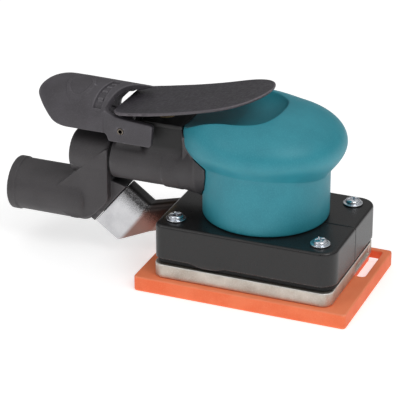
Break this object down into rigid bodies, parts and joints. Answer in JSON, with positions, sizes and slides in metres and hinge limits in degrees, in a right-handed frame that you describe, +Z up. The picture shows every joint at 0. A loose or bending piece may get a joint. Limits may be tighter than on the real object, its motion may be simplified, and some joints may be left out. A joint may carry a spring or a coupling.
{
  "type": "orbital sander",
  "caption": "Air-driven palm sander with a rectangular pad, soft domed grip, paddle throttle, corner-screwed shroud and a rear dust port fed by a bent duct.",
  "frame": {"origin": "middle of the sanding pad's bottom face", "axes": "+X towards the front of the pad, away from the dust port and the handle; +Z up, away from the work; the motor's axis is parallel to Z"},
  "size_m": [0.1818, 0.0719, 0.0975],
  "materials": {
    "pad_orange": "matte, slightly soft backing pad",
    "cast_plate": "machined casting with a bright top edge",
    "steel": "ground and turned",
    "zinc": "bright zinc plate",
    "black_rubber": "matte",
    "shroud_black": "fine-grained moulding",
    "housing_black": "satin moulding",
    "lever_black": "satin with a fine pebbled grip texture",
    "grip_teal": "soft-touch over-moulding",
    "phenolic": "laminate",
    "brass": "turned",
    "duct_aluminium": "polished tube"
  },
  "bodies": {
    "housing": {"motor_housing": "housing_black", "grip_cover": "grip_teal", "base_shroud": "shroud_black", "shroud_seal": "black_rubber", "shroud_screw_1": "zinc", "shroud_screw_2": "zinc", "shroud_screw_3": "zinc", "shroud_screw_4": "zinc", "flex_leg_1": "black_rubber", "flex_leg_2": "black_rubber", "flex_leg_3": "black_rubber", "flex_leg_4": "black_rubber", "cylinder": "steel", "end_plate_upper": "phenolic", "end_plate_lower": "phenolic", "bearing_upper": "steel", "bearing_lower": "steel", "lock_ring": "cast_plate", "lever_guard": "housing_black", "lever_pin": "steel", "valve_bushing": "brass", "valve_seat": "brass", "valve_plug": "brass", "valve_spring": "steel", "inlet_bushing": "steel", "inlet_screen": "brass", "collar_ring": "black_rubber", "vacuum_fitting": "housing_black", "vacuum_duct": "duct_aluminium", "duct_gasket": "black_rubber", "exhaust_nozzle": "brass"},
    "rotor": {"rotor": "steel", "crankshaft": "steel", "counterweight": "brass", "vane_1": "phenolic", "vane_2": "phenolic", "vane_3": "phenolic", "vane_4": "phenolic"},
    "pad": {"sanding_pad": "pad_orange", "pad_plate": "cast_plate", "leg_screw_1": "steel", "leg_screw_2": "steel", "leg_screw_3": "steel", "leg_screw_4": "steel", "pad_bearing": "steel", "pad_bearing_clip": "black_rubber"},
    "lever": {"throttle_lever": "lever_black"},
    "valve": {"valve_stem": "steel"},
    "regulator": {"speed_regulator": "brass"}
  },
  "joints": [
    {"name": "rotor_spin", "type": "hinge", "parent": "housing", "child": "rotor", "pos_m": [0, 0.0012, 0.055], "axis": [0, 0, 1], "continuous": true},
    {"name": "pad_orbit", "type": "hinge", "parent": "rotor", "child": "pad", "pos_m": [0, 0, 0.017], "axis": [0, 0, 1], "continuous": true, "deforming": ["flex_leg_1", "flex_leg_2", "flex_leg_3", "flex_leg_4"]},
    {"name": "lever_press", "type": "hinge", "parent": "housing", "child": "lever", "pos_m": [-0.0673, 0, 0.0702], "axis": [0, 1, 0], "range_deg": [0, 7], "stiffness_Nm_per_rad": 0.8, "springref_deg": -8.59},
    {"name": "valve_slide", "type": "slide", "parent": "housing", "child": "valve", "axis": [0, 0, -1], "range_m": [0, 0.0022], "deforming": ["valve_spring"]},
    {"name": "regulator_turn", "type": "hinge", "parent": "housing", "child": "regulator", "pos_m": [-0.0576, 0.0095, 0.051], "axis": [0, 1, 0], "range_deg": [-45, 90]}
  ],
  "couplings": [
    {"joint": "pad_orbit", "follows": "rotor_spin", "ratio": -1},
    {"joint": "valve_slide", "follows": "lever_press", "m_per_rad": 0.0173}
  ]
}
